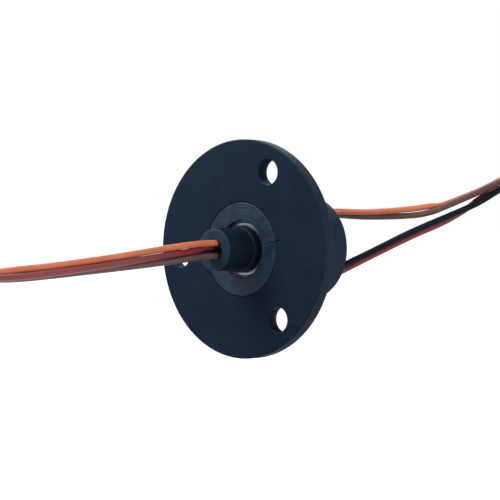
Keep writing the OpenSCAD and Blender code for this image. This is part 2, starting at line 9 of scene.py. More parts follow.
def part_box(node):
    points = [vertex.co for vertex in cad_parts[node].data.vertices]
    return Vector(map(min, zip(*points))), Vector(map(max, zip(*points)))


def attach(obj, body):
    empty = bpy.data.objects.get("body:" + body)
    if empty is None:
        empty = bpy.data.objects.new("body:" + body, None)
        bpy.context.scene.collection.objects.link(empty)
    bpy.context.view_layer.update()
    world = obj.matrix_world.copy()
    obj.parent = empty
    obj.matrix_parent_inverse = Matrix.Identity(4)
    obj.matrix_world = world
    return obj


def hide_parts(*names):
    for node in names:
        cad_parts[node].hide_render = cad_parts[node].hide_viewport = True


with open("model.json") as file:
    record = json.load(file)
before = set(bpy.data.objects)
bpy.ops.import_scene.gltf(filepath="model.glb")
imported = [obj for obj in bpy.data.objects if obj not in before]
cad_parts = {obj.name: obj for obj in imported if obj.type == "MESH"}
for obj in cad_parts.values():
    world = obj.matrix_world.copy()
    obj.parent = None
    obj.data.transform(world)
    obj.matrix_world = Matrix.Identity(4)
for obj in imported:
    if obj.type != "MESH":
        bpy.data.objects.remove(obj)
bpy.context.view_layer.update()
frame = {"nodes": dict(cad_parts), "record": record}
mm = 0.001  # lengths are in millimetres and angles in degrees, unless a note says otherwise
print("frame:", len(frame["nodes"]), "nodes loaded")


def newObject(name, data):
    obj = bpy.data.objects.new(name, data)
    bpy.context.scene.collection.objects.link(obj)
    return obj


cameraSet = {
    "azimuth": 41.97,
    "elevation": 0.97,
    "aim": (0, -2.9, 0),  # the middle of the flange's front face
    "right": 1.917,  # the way from there to the camera, in the camera's own directions
    "up": -0.181,
    "away": 398.64,
    "lens": 141.6,
    "sensor": 36,
    "clip": (0.01, 20),  # metres
}


def makeCamera(s):
    azimuth = math.radians(s["azimuth"])
    elevation = math.radians(s["elevation"])
    right = Vector((math.cos(azimuth), math.sin(azimuth), 0))
    level = math.cos(elevation)
    back = Vector((math.sin(azimuth) * level, -math.cos(azimuth) * level, math.sin(elevation)))
    up = back.cross(right)
    data = bpy.data.cameras.new("camera")
    data.lens = s["lens"]
    data.sensor_width = s["sensor"]
    data.clip_start, data.clip_end = s["clip"]
    camera = newObject("camera", data)
    camera.location = (Vector(s["aim"]) + s["right"] * right + s["up"] * up + s["away"] * back) * mm
    camera.rotation_euler = (math.radians(90) - elevation, 0, azimuth)
    bpy.context.scene.camera = camera


makeCamera(cameraSet)
print("camera: placed")


leadSet = {
    "diameter": 1.3,
    "length": 250,  # from the stub's mouth, or from the rear cap's face
    "steps": 4,  # curve points between two points of a route
    "coilRadius": 10.4,
    "coilPitch": 1.35,
    "turnPoints": 30,
    "roundSteps": 6,
    "endLength": 4.5,  # stripped and tinned end
    "endDiameter": 0.75,
    "endBend": 0.4,  # how much the end's second half turns inward
}

# one side's leads leave together at "exit" along Y, and lie side by side in one flat coil
rotorCoil = {
    "node": "rotor_lead_coil", "tie": "rotor_coil_tie", "body": "rotor", "exit": -10.9,
    "centre": (0, -81, -14.6), "heading": (0, -1, 0), "side": (1, 0, 0),
}
statorTurn = math.radians(42)
statorCoil = {
    "node": "stator_lead_coil", "tie": "stator_coil_tie", "body": "stator", "exit": 17.9,
    "centre": (37.2, 58.2, 7.2),
    "heading": (math.cos(statorTurn), math.sin(statorTurn), 0),
    "side": (math.sin(statorTurn), -math.cos(statorTurn), 0),
}

leads = {
    "rotor_lead_orange": {
        "coil": rotorCoil, "lane": 0.675, "slot": "lead_orange",
        "route": [
            (0.5, -10.6, 1.3), (0.5, -12.4, 1.3), (0.35, -16, 1.15), (0.25, -22, 0.65),
            (0.1, -30, -0.2), (-0.05, -38, -1.05), (-0.1, -46, -1.8), (-0.2, -55, -2.55),
            (-0.2, -64, -3.1), (0.6, -75, -3.95),
        ],
    },
    "rotor_lead_red": {
        "coil": rotorCoil, "lane": 2.025, "slot": "lead_red",
        "route": [
            (-0.65, -10.6, 0.5), (-0.65, -12.4, 0.5), (-0.05, -16, -0.15), (0.3, -22, -0.7),
            (0.45, -30, -1.5), (0.5, -38, -2.3), (0.6, -46, -3.05), (0.7, -55, -3.75),
            (0.85, -64, -4.3), (1.95, -75, -4.3),
        ],
    },
    "rotor_lead_brown": {
        "coil": rotorCoil, "lane": -0.675, "slot": "lead_brown",
        "route": [
            (0.5, -10.6, -1.3), (0.5, -12.4, -1.3), (0.35, -16, -1.5), (0.1, -22, -2.05),
            (-0.2, -30, -2.7), (-0.45, -38, -3.25), (-0.55, -46, -3.75), (-0.6, -55, -4.3),
            (-0.55, -64, -4.65), (-0.7, -75, -4.4),
        ],
    },
    "rotor_lead_black": {
        "coil": rotorCoil, "lane": -2.025, "slot": "lead_black",
        "route": [
            (-1.05, -10.6, -0.8), (-1.05, -12.4, -0.8), (-1.15, -16, -0.95), (-1, -22, -1.2),
            (-1.2, -30, -1.7), (-1.35, -38, -2.25), (-1.45, -46, -2.75), (-1.45, -55, -3.25),
            (-1.55, -64, -3.7), (-2.05, -75, -4.1),
        ],
    },
    "stator_lead_orange": {
        "coil": statorCoil, "lane": -2.025, "slot": "lead_orange",
        "route": [
            (0.7, 15.2, 7.7), (0.7, 18.6, 7.7), (0.95, 21.9, 7.75), (2.35, 26.1, 7.7),
            (7.05, 30.4, 7.55), (13.15, 36.35, 8.2), (15.95, 39.5, 8.8), (18.1, 41.9, 9.2),
            (24.1, 47.35, 12.4), (28.6, 53.1, 15.9),
        ],
    },
    "stator_lead_brown": {
        "coil": statorCoil, "lane": 2.025, "slot": "lead_brown",
        "route": [
            (-0.7, 15.2, 7.7), (-0.7, 18.6, 7.7), (-0.45, 22.1, 7.5), (1.65, 26.9, 6.9),
            (6.4, 31.1, 6.55), (12.95, 36.55, 6.8), (16.4, 39, 7.5), (19, 40.9, 8.7),
            (25, 46.3, 12.2), (31.2, 50.2, 15.6),
        ],
    },
    "stator_lead_black": {
        "coil": statorCoil, "lane": 0.675, "slot": "lead_black",
        "route": [
            (0.7, 15.2, -7.7), (0.7, 18.6, -7.7), (0.95, 21.9, -7.1), (2.3, 26.15, -4.2),
            (7.05, 30.4, -1), (13.35, 36.1, 3.2), (18.9, 41, 6.4), (22.7, 44.25, 8.55),
            (24.95, 46.35, 10.1), (30.4, 51.1, 14.5),
        ],
    },
    "stator_lead_red": {
        "coil": statorCoil, "lane": -0.675, "slot": "lead_red",
        "route": [
            (-0.7, 15.2, -7.7), (-0.7, 18.6, -7.7), (-0.45, 22.1, -7.4), (1.7, 26.85, -5.2),
            (6.4, 31.1, -2), (12.75, 36.8, 2.2), (18.2, 41.8, 5.5), (21.8, 45.25, 8.45),
            (24.15, 47.25, 10.75), (29.45, 52.15, 14.1),
        ],
    },
}


def smoothed(points, steps):  # a curve through the points, the same shape between any two of them
    result = []
    for i in range(len(points) - 1):
        a = points[max(i - 1, 0)]
        b = points[i]
        c = points[i + 1]
        d = points[min(i + 2, len(points) - 1)]
        for k in range(steps):
            t = k / steps
            result.append(0.5 * (
                2 * b + (c - a) * t + (2 * a - 5 * b + 4 * c - d) * t ** 2 + (3 * b - a - 3 * c + d) * t ** 3
            ))
    result.append(points[-1])
    return result


def fullLength(spec, s):  # from the route's first point, inside the exit, to the bare end
    return s["length"] + abs(spec["route"][0][1] - spec["coil"]["exit"])


def woundLead(spec, s):  # route, then flat turns one inside the other, cut off at the lead's length
    coil = spec["coil"]
    centre = Vector(coil["centre"])
    heading = Vector(coil["heading"])
    side = Vector(coil["side"])
    up = Vector((0, 0, 1))
    route = [Vector(p) for p in spec["route"]]
    last = route[-1] - centre
    radius = s["coilRadius"]
    start = math.atan2(last.dot(heading), last.z)
    start += math.acos(radius / math.hypot(last.dot(heading), last.z))

    def turnPoint(k):
        angle = start + 2 * math.pi * k / s["turnPoints"]
        r = radius - s["coilPitch"] * k / s["turnPoints"]
        return centre + spec["lane"] * side + r * (math.sin(angle) * heading + math.cos(angle) * up)

    points = smoothed(route + [turnPoint(0), turnPoint(2)], s["steps"])
    total = fullLength(spec, s)
    length = sum((b - a).length for a, b in zip(points, points[1:]))
    k = 3  # the smooth part ends at turn point 2
    while length < total:
        step = turnPoint(k) - points[-1]
        share = min(1, (total - length) / step.length)
        points.append(points[-1] + step * share)
        length += step.length
        k += 1
    tip = [points[-1]]
    run = (points[-1] - points[-2]).normalized()
    tip.append(tip[0] + run * s["endLength"] / 2)
    inward = centre + spec["lane"] * side - tip[1]
    bent = (run + inward.normalized() * s["endBend"]).normalized()
    tip.append(tip[1] + bent * s["endLength"] / 2)
    return points, tip


def tube(name, points, diameter, roundSteps):
    curve = bpy.data.curves.new(name, "CURVE")
    curve.dimensions = "3D"
    curve.bevel_depth = diameter / 2 * mm
    curve.bevel_resolution = roundSteps
    curve.use_fill_caps = True
    spline = curve.splines.new("POLY")
    spline.points.add(len(points) - 1)
    for knot, p in zip(spline.points, points):
        knot.co = (*(p * mm), 1)
    spline.use_smooth = True
    line = newObject(name + "_line", curve)
    graph = bpy.context.evaluated_depsgraph_get()
    mesh = bpy.data.meshes.new_from_object(line.evaluated_get(graph))
    bpy.data.objects.remove(line)
    return newObject(name, mesh)


leadPieces = {}
for name, spec in leads.items():
    coil = spec["coil"]
    points, tip = woundLead(spec, leadSet)
    piece = tube(name + "_wire", points, leadSet["diameter"], leadSet["roundSteps"])
    end = tube(name + "_end", tip, leadSet["endDiameter"], leadSet["roundSteps"])
    for obj in (piece, end):
        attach(obj, coil["body"])
    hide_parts(name, coil["node"])
    leadPieces[name] = (piece, end)
print("leads:", len(leadPieces), "made")


def socketsIn(tree, *names):
    for name, kind, value in names:
        socket = tree.interface.new_socket(name, in_out="INPUT", socket_type=kind)
        socket.default_value = value


def socketsOut(tree, *names):
    for name, kind in names:
        tree.interface.new_socket(name, in_out="OUTPUT", socket_type=kind)


def newGroup(name):
    tree = bpy.data.node_groups.new(name, "ShaderNodeTree")
    return tree, tree.nodes.new("NodeGroupInput"), tree.nodes.new("NodeGroupOutput")


def math2(tree, operation, a, b=0):
    node = tree.nodes.new("ShaderNodeMath")
    node.operation = operation
    for socket, value in zip(node.inputs, (a, b)):
        if isinstance(value, (int, float)):
            socket.default_value = value
        else:
            tree.links.new(value, socket)
    return node.outputs[0]


def noise(tree, scale, detail, vector):
    node = tree.nodes.new("ShaderNodeTexNoise")
    node.inputs["Detail"].default_value = detail
    if isinstance(scale, (int, float)):
        node.inputs["Scale"].default_value = scale
    else:
        tree.links.new(scale, node.inputs["Scale"])
    tree.links.new(vector, node.inputs["Vector"])
    return node.outputs["Fac"]


def spread(tree, value, low, high, toLow=0.0, toHigh=1.0):  # low to high becomes toLow to toHigh
    node = tree.nodes.new("ShaderNodeMapRange")
    for socket, number in zip(list(node.inputs)[1:5], (low, high, toLow, toHigh)):
        socket.default_value = number
    tree.links.new(value, node.inputs[0])
    return node.outputs[0]


def place(tree):  # the spot on the object, in metres
    return tree.nodes.new("ShaderNodeTexCoord").outputs["Object"]


def mixColour(tree, factor, a, b):  # a where the factor is 0, b where it is 1
    node = tree.nodes.new("ShaderNodeMix")
    node.data_type = "RGBA"
    tree.links.new(factor, node.inputs[0])
    for socket, value in ((node.inputs[6], a), (node.inputs[7], b)):
        if isinstance(value, tuple):
            socket.default_value = value
        else:
            tree.links.new(value, socket)
    return node.outputs[2]


cloudSet = {"perMetre": 200, "detail": 4, "dark": 0.36, "light": 0.64}  # noise values of the two shades


def makeClouds(s):  # slow change of shade over a surface
    tree, inp, out = newGroup("clouds")
    socketsIn(tree, ("Light", "NodeSocketColor", (1, 1, 1, 1)), ("Dark", "NodeSocketColor", (0, 0, 0, 1)),
              ("Per Metre", "NodeSocketFloat", s["perMetre"]))
    socketsOut(tree, ("Color", "NodeSocketColor"), ("Mask", "NodeSocketFloat"))
    broad = noise(tree, inp.outputs["Per Metre"], s["detail"], place(tree))
    mask = spread(tree, broad, s["dark"], s["light"])
    tree.links.new(mask, out.inputs["Mask"])
    tree.links.new(mixColour(tree, mask, inp.outputs["Dark"], inp.outputs["Light"]), out.inputs["Color"])
    return tree


grainSet = {"perMetre": 5000, "detail": 3, "softShare": 0.12, "softDetail": 2, "softHeight": 1.5}


def makeGrain(s):  # spark-eroded mould surface: fine pits under a softer unevenness
    tree, inp, out = newGroup("mouldGrain")
    socketsIn(tree, ("Per Metre", "NodeSocketFloat", s["perMetre"]))
    socketsOut(tree, ("Height", "NodeSocketFloat"))
    fine = noise(tree, inp.outputs["Per Metre"], s["detail"], place(tree))
    softScale = math2(tree, "MULTIPLY", inp.outputs["Per Metre"], s["softShare"])
    soft = math2(tree, "MULTIPLY", noise(tree, softScale, s["softDetail"], place(tree)), s["softHeight"])
    tree.links.new(math2(tree, "ADD", fine, soft), out.inputs["Height"])
    return tree


edgeWearAndHighlightSet = {
    "perMetre": 900,
    "samples": 4,
    "reach": 0.22,
    "flat": 0.99,  # rounded normal times real normal where the wear and the painted edge highlight start
    "wornAndLit": 0.85,  # and where it is full
    "detail": 3,
    "patches": (0.35, 0.6),
}


def makeEdgeWearAndHighlight(s):  # rubbed edges, with a painted highlight along the rounded edges, broken up by a noise
    tree, inp, out = newGroup("edgeWearAndHighlight")
    socketsIn(tree, ("Per Metre", "NodeSocketFloat", s["perMetre"]))
    socketsOut(tree, ("Mask", "NodeSocketFloat"))
    bevel = tree.nodes.new("ShaderNodeBevel")
    bevel.samples = s["samples"]
    bevel.inputs["Radius"].default_value = s["reach"] * mm
    geometry = tree.nodes.new("ShaderNodeNewGeometry")
    dot = tree.nodes.new("ShaderNodeVectorMath")
    dot.operation = "DOT_PRODUCT"
    tree.links.new(bevel.outputs[0], dot.inputs[0])
    tree.links.new(geometry.outputs["Normal"], dot.inputs[1])
    edge = spread(tree, dot.outputs["Value"], s["flat"], s["wornAndLit"])
    broken = spread(tree, noise(tree, inp.outputs["Per Metre"], s["detail"], place(tree)), *s["patches"])
    tree.links.new(math2(tree, "MULTIPLY", edge, broken), out.inputs["Mask"])
    return tree


turningSet = {"perMetre": 6000, "detail": 2}


def makeTurning(s):  # fine rings left by a lathe or a grinding wheel, round the part's own axis
    tree, inp, out = newGroup("turningLines")
    socketsIn(tree, ("Per Metre", "NodeSocketFloat", s["perMetre"]))
    socketsOut(tree, ("Height", "NodeSocketFloat"))
    split = tree.nodes.new("ShaderNodeSeparateXYZ")
    tree.links.new(place(tree), split.inputs[0])
    squares = math2(tree, "ADD", math2(tree, "MULTIPLY", split.outputs[0], split.outputs[0]),
                    math2(tree, "MULTIPLY", split.outputs[2], split.outputs[2]))
    radius = math2(tree, "SQRT", squares)
    join = tree.nodes.new("ShaderNodeCombineXYZ")
    tree.links.new(radius, join.inputs[0])
    tree.links.new(split.outputs[1], join.inputs[1])
    rings = noise(tree, inp.outputs["Per Metre"], s["detail"], join.outputs[0])
    tree.links.new(rings, out.inputs["Height"])
    return tree


scratchSet = {
    "perMetre": 300,
    "turns": (0.4, 1.5, 2.6),  # one direction of lines each, in radians
    "squeeze": 14,  # how much longer than wide a line is
    "detail": 1,
    "sparse": (0.66, 0.7),
}


def makeScratches(s):  # sparse hair lines in several directions
    tree, inp, out = newGroup("hairLines")
    socketsIn(tree, ("Per Metre", "NodeSocketFloat", s["perMetre"]))
    socketsOut(tree, ("Mask", "NodeSocketFloat"))
    total = None
    for turn in s["turns"]:
        mapping = tree.nodes.new("ShaderNodeMapping")
        mapping.inputs["Rotation"].default_value = (0, turn, 0)
        mapping.inputs["Scale"].default_value = (1, 1, s["squeeze"])
        tree.links.new(place(tree), mapping.inputs["Vector"])
        streaks = noise(tree, inp.outputs["Per Metre"], s["detail"], mapping.outputs[0])
        line = spread(tree, streaks, *s["sparse"])
        total = line if total is None else math2(tree, "MAXIMUM", total, line)
    tree.links.new(total, out.inputs["Mask"])
    return tree


clouds = makeClouds(cloudSet)
mouldGrain = makeGrain(grainSet)
edgeWearAndHighlight = makeEdgeWearAndHighlight(edgeWearAndHighlightSet)
turningLines = makeTurning(turningSet)
hairLines = makeScratches(scratchSet)
print("shader groups: made")


def newMaterial(name):
    material = bpy.data.materials.new(name)
    material.use_nodes = True
    return material, material.node_tree, material.node_tree.nodes["Principled BSDF"]


def addGroup(tree, group, **values):
    node = tree.nodes.new("ShaderNodeGroup")
    node.node_tree = group
    for key, value in values.items():
        socket = node.inputs[{"light": "Light", "dark": "Dark", "perMetre": "Per Metre"}[key]]
        socket.default_value = (*value, 1) if isinstance(value, tuple) else value
    return node


def addBump(tree, shader, height, depth):
    node = tree.nodes.new("ShaderNodeBump")
    node.inputs["Distance"].default_value = depth * mm
    tree.links.new(height, node.inputs["Height"])
    tree.links.new(node.outputs[0], shader.inputs["Normal"])


def addRoughness(tree, shader, mask, rough, s):  # smoother where the mask is low, rougher where it is high
    low, high = s["mask"]
    value = spread(tree, mask, low, high, rough - s["smoother"], rough + s["rougher"])
    tree.links.new(value, shader.inputs["Roughness"])


plasticFinish = {
    "wearAndHighlightPerMetre": 900.0,
    "faceTurn": (-0.3, -0.8),  # Y of the normal where the painted highlight on the end starts, and where it is full
    "roughness": {"mask": (0, 1), "smoother": 0.05, "rougher": 0.05},
}


def plastic(name, s):
    material, tree, shader = newMaterial(name)
    base = addGroup(tree, clouds, light=s["light"], dark=s["dark"], perMetre=s["cloudsPerMetre"])
    wearAndHighlight = addGroup(tree, edgeWearAndHighlight, perMetre=plasticFinish["wearAndHighlightPerMetre"])
    scratches = addGroup(tree, hairLines, perMetre=s["scratchesPerMetre"])
    shade = base.outputs["Color"]
    if "face" in s:  # painted highlight: the end face and its rounding, which look along -Y, are painted paler than the side
        normal = tree.nodes.new("ShaderNodeSeparateXYZ")
        tree.links.new(tree.nodes.new("ShaderNodeTexCoord").outputs["Normal"], normal.inputs[0])
        paintedLightAtFace = spread(tree, normal.outputs[1], *plasticFinish["faceTurn"])
        shade = mixColour(tree, paintedLightAtFace, shade, (*s["face"], 1))
    # the edge mask lays the worn colour on rubbed edges and also paints a highlight along them; the hair
    # lines are real marks
    for mask, share in ((wearAndHighlight.outputs["Mask"], s["wearAndHighlight"]), (scratches.outputs["Mask"], s["scratchShare"])):
        shade = mixColour(tree, math2(tree, "MULTIPLY", mask, share), shade, (*s["wornAndLit"], 1))
    tree.links.new(shade, shader.inputs["Base Color"])
    height = addGroup(tree, mouldGrain, perMetre=s["grainPerMetre"]).outputs["Height"]
    if "lineShare" in s:  # cut on a lathe, so rings lie over the grain
        lines = addGroup(tree, turningLines, perMetre=s["linesPerMetre"]).outputs["Height"]
        height = math2(tree, "ADD", height, math2(tree, "MULTIPLY", lines, s["lineShare"]))
    addBump(tree, shader, height, s["grainDepth"])
    addRoughness(tree, shader, base.outputs["Mask"], s["rough"], plasticFinish["roughness"])
    shader.inputs["Specular IOR Level"].default_value = s["specular"]
    return material


metalFinish = {"roughness": {"mask": (0.3, 0.7), "smoother": 0.04, "rougher": 0.06}}


def metal(name, s):
    material, tree, shader = newMaterial(name)
    shader.inputs["Metallic"].default_value = 1
    base = addGroup(tree, clouds, light=s["light"], dark=s["dark"], perMetre=s["cloudsPerMetre"])
    tree.links.new(base.outputs["Color"], shader.inputs["Base Color"])
    lines = addGroup(tree, turningLines, perMetre=s["linesPerMetre"])
    addBump(tree, shader, lines.outputs["Height"], s["lineDepth"])
    addRoughness(tree, shader, lines.outputs["Height"], s["rough"], metalFinish["roughness"])
    return material


insulationFinish = {
    "cloudsPerMetre": 90.0,
    "grainPerMetre": 2600.0,
    "grainDepth": 0.004,
    "coatRough": 0.18,
    "roughness": {"mask": (0, 1), "smoother": 0.04, "rougher": 0.06},
}


def insulation(name, s):
    material, tree, shader = newMaterial(name)
    finish = insulationFinish
    base = addGroup(tree, clouds, light=s["light"], dark=s["dark"], perMetre=finish["cloudsPerMetre"])
    tree.links.new(base.outputs["Color"], shader.inputs["Base Color"])
    grain = addGroup(tree, mouldGrain, perMetre=finish["grainPerMetre"])
    addBump(tree, shader, grain.outputs["Height"], finish["grainDepth"])
    addRoughness(tree, shader, base.outputs["Mask"], s["rough"], finish["roughness"])
    shader.inputs["Specular IOR Level"].default_value = s["specular"]
    shader.inputs["Coat Weight"].default_value = s["coat"]
    shader.inputs["Coat Roughness"].default_value = finish["coatRough"]
    return material


plasticSets = {
    "housing_plastic": {
        "light": (0.01, 0.0212, 0.0395), "dark": (0.0078, 0.017, 0.0318), "cloudsPerMetre": 160.0,
        "wornAndLit": (0.035, 0.055, 0.08), "wearAndHighlight": 0.35, "scratchesPerMetre": 260.0, "scratchShare": 0.05,
        "grainPerMetre": 5200.0, "grainDepth": 0.03, "rough": 0.6, "specular": 0.04,
    },
    "cap_plastic": {
        "light": (0.011, 0.0325, 0.058), "dark": (0.005, 0.0185, 0.033), "cloudsPerMetre": 420.0,
        # the worn colour and its share here also paint a highlight along the cap's rounded rims
        "wornAndLit": (0.06, 0.1, 0.135), "wearAndHighlight": 0.55, "scratchesPerMetre": 500.0, "scratchShare": 0.15,
        "grainPerMetre": 4200.0, "grainDepth": 0.03, "rough": 0.4, "specular": 0.17,
        "linesPerMetre": 5000.0, "lineShare": 3.0,
    },
    "shaft_plastic": {
        "light": (0.0042, 0.0092, 0.0165), "dark": (0.0032, 0.0072, 0.013), "cloudsPerMetre": 300.0,
        "wornAndLit": (0.04, 0.06, 0.08), "wearAndHighlight": 0.35, "scratchesPerMetre": 500.0, "scratchShare": 0.1,
        "grainPerMetre": 5200.0, "grainDepth": 0.025, "rough": 0.5, "specular": 0.06,
        # painted highlight colour of the end face and its rounding
        "face": (0.0165, 0.0365, 0.062),
    },
    "collar_plastic": {
        "light": (0.0028, 0.0058, 0.0095), "dark": (0.002, 0.0042, 0.007), "cloudsPerMetre": 300.0,
        # the worn colour and its share here also paint highlight lines along the collar's edges
        "wornAndLit": (0.04, 0.06, 0.085), "wearAndHighlight": 0.7, "scratchesPerMetre": 500.0, "scratchShare": 0.1,
        "grainPerMetre": 5200.0, "grainDepth": 0.012, "rough": 0.42, "specular": 0.1,
    },
    "barrier_plastic": {
        "light": (0.72, 0.68, 0.57), "dark": (0.62, 0.57, 0.46), "cloudsPerMetre": 400.0,
        "wornAndLit": (0.8, 0.77, 0.68), "wearAndHighlight": 0.3, "scratchesPerMetre": 500.0, "scratchShare": 0.05,
        "grainPerMetre": 5200.0, "grainDepth": 0.01, "rough": 0.5, "specular": 0.4,
    },
    "block_plastic": {
        "light": (0.05, 0.17, 0.09), "dark": (0.035, 0.12, 0.07), "cloudsPerMetre": 400.0,
        "wornAndLit": (0.12, 0.25, 0.16), "wearAndHighlight": 0.3, "scratchesPerMetre": 500.0, "scratchShare": 0.05,
        "grainPerMetre": 5200.0, "grainDepth": 0.01, "rough": 0.5, "specular": 0.4,
    },
    "potting": {
        "light": (0.012, 0.012, 0.014), "dark": (0.006, 0.006, 0.007), "cloudsPerMetre": 500.0,
        "wornAndLit": (0.03, 0.03, 0.03), "wearAndHighlight": 0.2, "scratchesPerMetre": 500.0, "scratchShare": 0.0,
        "grainPerMetre": 700.0, "grainDepth": 0.03, "rough": 0.22, "specular": 0.4,
    },
    "tie_nylon": {
        "light": (0.02, 0.02, 0.022), "dark": (0.012, 0.012, 0.014), "cloudsPerMetre": 400.0,
        "wornAndLit": (0.08, 0.08, 0.085), "wearAndHighlight": 0.4, "scratchesPerMetre": 700.0, "scratchShare": 0.1,
        "grainPerMetre": 3000.0, "grainDepth": 0.01, "rough": 0.42, "specular": 0.4,
    },
}

metalSets = {
    "bearing_steel": {
        "light": (0.28, 0.31, 0.34), "dark": (0.2, 0.225, 0.25), "cloudsPerMetre": 500.0,
        "linesPerMetre": 9000.0, "lineDepth": 0.002, "rough": 0.34,
    },
    "shield_steel": {
        "light": (0.14, 0.15, 0.17), "dark": (0.09, 0.1, 0.115), "cloudsPerMetre": 700.0,
        "linesPerMetre": 7000.0, "lineDepth": 0.004, "rough": 0.42,
    },
    "cage_brass": {
        "light": (0.66, 0.52, 0.27), "dark": (0.5, 0.36, 0.16), "cloudsPerMetre": 700.0,
        "linesPerMetre": 5000.0, "lineDepth": 0.003, "rough": 0.36,
    },
    "ring_gold": {
        "light": (0.87, 0.66, 0.28), "dark": (0.76, 0.54, 0.2), "cloudsPerMetre": 900.0,
        "linesPerMetre": 12000.0, "lineDepth": 0.002, "rough": 0.16,
    },
    "wire_copper": {
        "light": (0.68, 0.32, 0.15), "dark": (0.46, 0.2, 0.09), "cloudsPerMetre": 1500.0,
        "linesPerMetre": 3000.0, "lineDepth": 0.002, "rough": 0.28,
    },
    "tinned_wire": {
        "light": (0.72, 0.73, 0.74), "dark": (0.5, 0.51, 0.53), "cloudsPerMetre": 2200.0,
        "linesPerMetre": 5000.0, "lineDepth": 0.02, "rough": 0.34,
    },
}

insulationSets = {
    "lead_orange": {
        "light": (0.52, 0.14, 0.066), "dark": (0.42, 0.104, 0.05),
        "rough": 0.4, "specular": 0.35, "coat": 0.1,
    },
    "lead_red": {
        "light": (0.19, 0.024, 0.034), "dark": (0.14, 0.015, 0.023),
        "rough": 0.36, "specular": 0.25, "coat": 0.25,
    },
    "lead_brown": {
        "light": (0.112, 0.058, 0.056), "dark": (0.078, 0.039, 0.038),
        "rough": 0.42, "specular": 0.2, "coat": 0.1,
    },
    "lead_black": {
        "light": (0.0045, 0.0085, 0.017), "dark": (0.003, 0.0055, 0.011),
        "rough": 0.44, "specular": 0.08, "coat": 0.0,
    },
}

materials = {}
for build, sets in ((plastic, plasticSets), (metal, metalSets), (insulation, insulationSets)):
    for name, values in sets.items():
        materials[name] = build(name, values)

for node, obj in frame["nodes"].items():
    slotName = next(p["material_slot"] for p in frame["record"]["subparts"] if p["node"] == node)
    obj.data.materials.clear()
    obj.data.materials.append(materials[slotName])

for name, (piece, end) in leadPieces.items():
    piece.data.materials.append(materials[leads[name]["slot"]])
    end.data.materials.append(materials["tinned_wire"])
print("materials:", len(materials), "made")


def rounded(corners, radii, steps=5):  # profile with each corner turned into an arc of its own radius
    result = []
    count = len(corners)
    for i, radius in enumerate(radii):
        p = Vector(corners[i])
        if radius == 0:
            result.append(p)
            continue
        a = (Vector(corners[i - 1]) - p).normalized()
        b = (Vector(corners[(i + 1) % count]) - p).normalized()
        half = a.angle(b) / 2
        start = p + a * radius / math.tan(half)
        end = p + b * radius / math.tan(half)
        middle = p + (a + b).normalized() * radius / math.sin(half)
        turn = (start - middle).angle_signed(end - middle)
        for k in range(steps + 1):
            angle = -turn * k / steps
            c, s = math.cos(angle), math.sin(angle)
            arm = start - middle
            result.append(middle + Vector((arm.x * c - arm.y * s, arm.x * s + arm.y * c)))
    return result


mergeWithin = 1e-8  # metres, joins the points that a profile has on the axis


def revolved(name, profile, segments=160):  # closed profile of (radius, y) turned round the Y axis
    bm = bmesh.new()
    rows = []
    for i in range(segments):
        a = 2 * math.pi * i / segments
        x, z = math.cos(a) * mm, math.sin(a) * mm
        rows.append([bm.verts.new((radius * x, y * mm, radius * z)) for radius, y in profile])
    count = len(profile)
    for i in range(segments):
        near, far = rows[i], rows[(i + 1) % segments]
        for k in range(count):
            j = (k + 1) % count
            if max(profile[k][0], profile[j][0]) > 0:
                bm.faces.new((near[k], near[j], far[j], far[k]))
    bmesh.ops.remove_doubles(bm, verts=bm.verts, dist=mergeWithin)
    bmesh.ops.recalc_face_normals(bm, faces=bm.faces)
    return fromBmesh(name, bm)


def skin(bm, rows):  # closed loops with as many points each, joined from one to the next
    for near, far in zip(rows, rows[1:]):
        for k in range(len(near)):
            j = (k + 1) % len(near)
            bm.faces.new((near[k], near[j], far[j], far[k]))


def capped(name, bm, rows):  # skinned loops, with the first and the last filled
    skin(bm, rows)
    bm.faces.new(rows[0])
    bm.faces.new(rows[-1])
    bmesh.ops.recalc_face_normals(bm, faces=bm.faces)
    return fromBmesh(name, bm)


def extruded(name, outline, low, high):  # closed outline in the X-Z plane, drawn out along Y
    bm = bmesh.new()
    rows = [[bm.verts.new((x * mm, y * mm, z * mm)) for x, z in outline] for y in (low, high)]
    return capped(name, bm, rows)


def fromBmesh(name, bm):
    mesh = bpy.data.meshes.new(name)
    bm.to_mesh(mesh)
    bm.free()
    return newObject(name, mesh)


def applied(obj):  # keeps the mesh as its modifiers leave it
    graph = bpy.context.evaluated_depsgraph_get()
    mesh = bpy.data.meshes.new_from_object(obj.evaluated_get(graph))
    obj.modifiers.clear()
    obj.data = mesh
    return obj


def cutBy(obj, cutters):
    for cutter in cutters:
        cut = obj.modifiers.new("cut", "BOOLEAN")
        cut.operation = "DIFFERENCE"
        cut.solver = "EXACT"
        cut.object = cutter
    applied(obj)
    for cutter in cutters:
        bpy.data.objects.remove(cutter)
    return obj


def softShade(obj, angle=32, weight=50):  # smooth shading that stops at sharp edges and keeps flat faces flat
    bm = bmesh.new()
    bm.from_mesh(obj.data)
    for face in bm.faces:
        face.smooth = True
    for edge in bm.edges:
        edge.smooth = len(edge.link_faces) == 2 and edge.calc_face_angle(0) < math.radians(angle)
    bm.to_mesh(obj.data)
    bm.free()
    flat = obj.modifiers.new("flatFaces", "WEIGHTED_NORMAL")
    flat.keep_sharp = True
    flat.weight = weight
    return obj


def dress(obj, body, node, slotName, finish=None):  # stands in for the node, on the node's own body
    obj.data.materials.clear()
    obj.data.materials.append(materials[finish or slotName])
    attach(obj, body)
    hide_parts(node)
    return softShade(obj)


def reach(node):  # front and back of a node along Y, and its outer radius
    low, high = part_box(node)
    return low[1] / mm, high[1] / mm, high[0] / mm


cutPast = 1  # how far a cutter reaches past the face that it opens

notchSet = {"angle": 10, "from": 6.5, "to": 10.7, "width": 0.3, "depth": 0.2}  # crosses cap and flange


